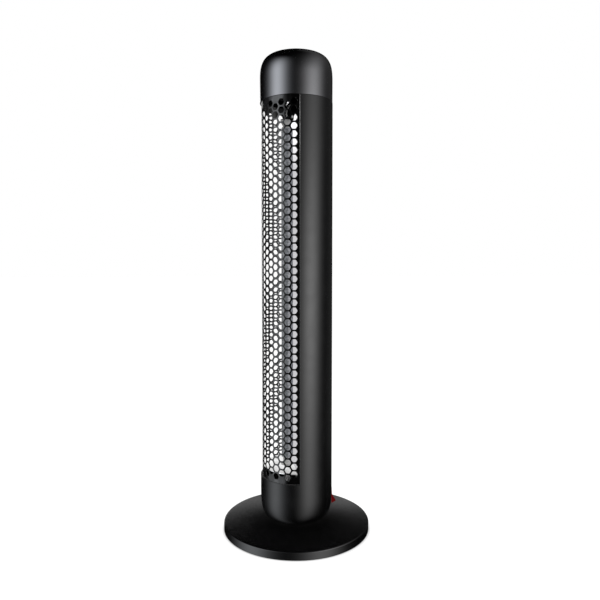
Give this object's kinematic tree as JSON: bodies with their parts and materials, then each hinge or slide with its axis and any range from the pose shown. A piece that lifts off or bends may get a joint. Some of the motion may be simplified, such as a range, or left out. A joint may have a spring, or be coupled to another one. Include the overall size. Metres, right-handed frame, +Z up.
{
  "type": "infrared tower heater",
  "caption": "Free-standing infrared heater: black round column with a perforated guard over a tall lamp, domed cap, round weighted base and red rocker switch at the back.",
  "frame": {"origin": "on the floor, under the middle of the base", "axes": "+Z up, -Y towards the middle of the guard, +Y towards the power switch"},
  "size_m": [0.2528, 0.2528, 0.809],
  "materials": {
    "satin_black_plastic": "satin",
    "gloss_black_plastic": "gloss",
    "dark_grey_plastic": "matte",
    "black_coated_steel": "satin",
    "red_plastic": "gloss",
    "black_rubber": "matte",
    "cast_iron": "rough",
    "zinc_plated_steel": "satin",
    "polished_aluminium": "mirror",
    "white_ceramic": null,
    "milky_quartz": "milky",
    "resistance_wire": "satin",
    "white_wire_sleeve": "woven sleeve",
    "black_wire_sleeve": "satin"
  },
  "bodies": {
    "heater": {"base_cover": "satin_black_plastic", "cord_bush": "black_rubber", "base_weight": "cast_iron", "base_plate": "zinc_plated_steel", "base_screw_1": "zinc_plated_steel", "base_screw_2": "zinc_plated_steel", "base_screw_3": "zinc_plated_steel", "base_screw_4": "zinc_plated_steel", "foot_pad_1": "black_rubber", "foot_pad_2": "black_rubber", "foot_pad_3": "black_rubber", "foot_pad_4": "black_rubber", "foot_pad_5": "black_rubber", "foot_pad_6": "black_rubber", "tip_over_switch": "satin_black_plastic", "column_housing": "satin_black_plastic", "column_screw_1": "zinc_plated_steel", "column_screw_2": "zinc_plated_steel", "column_screw_3": "zinc_plated_steel", "column_screw_4": "zinc_plated_steel", "top_cap": "gloss_black_plastic", "cap_plate": "black_coated_steel", "cap_screw_1": "zinc_plated_steel", "cap_screw_2": "zinc_plated_steel", "cap_screw_3": "zinc_plated_steel", "plate_screw_1": "zinc_plated_steel", "plate_screw_2": "zinc_plated_steel", "guard": "black_coated_steel", "reflector": "polished_aluminium", "reflector_screw_1": "zinc_plated_steel", "reflector_screw_2": "zinc_plated_steel", "reflector_screw_3": "zinc_plated_steel", "reflector_screw_4": "zinc_plated_steel", "upper_bracket": "black_coated_steel", "lamp_floor": "polished_aluminium", "bracket_screw_1": "zinc_plated_steel", "bracket_screw_2": "zinc_plated_steel", "floor_screw_1": "zinc_plated_steel", "floor_screw_2": "zinc_plated_steel", "quartz_tube": "milky_quartz", "upper_lamp_end": "white_ceramic", "lower_lamp_end": "white_ceramic", "heating_coil": "resistance_wire", "thermal_cutout": "white_ceramic", "terminal_block": "white_ceramic", "upper_lamp_lead": "white_wire_sleeve", "cutout_lead": "white_wire_sleeve", "lower_lamp_lead": "white_wire_sleeve", "switch_lead_1": "black_wire_sleeve", "switch_lead_2": "black_wire_sleeve", "switch_body": "gloss_black_plastic"},
    "rocker": {"power_rocker": "red_plastic"},
    "plunger": {"tip_over_plunger": "dark_grey_plastic"}
  },
  "joints": [
    {"name": "rocker_press", "type": "hinge", "parent": "heater", "child": "rocker", "pos_m": [0, 0.0578, 0.0511], "axis": [-1, 0, 0], "range_deg": [0, 34]},
    {"name": "plunger_drop", "type": "slide", "parent": "heater", "child": "plunger", "axis": [0, 0, -1], "range_m": [0, 0.003], "stiffness_N_per_m": 20, "springref_m": 0.003}
  ]
}
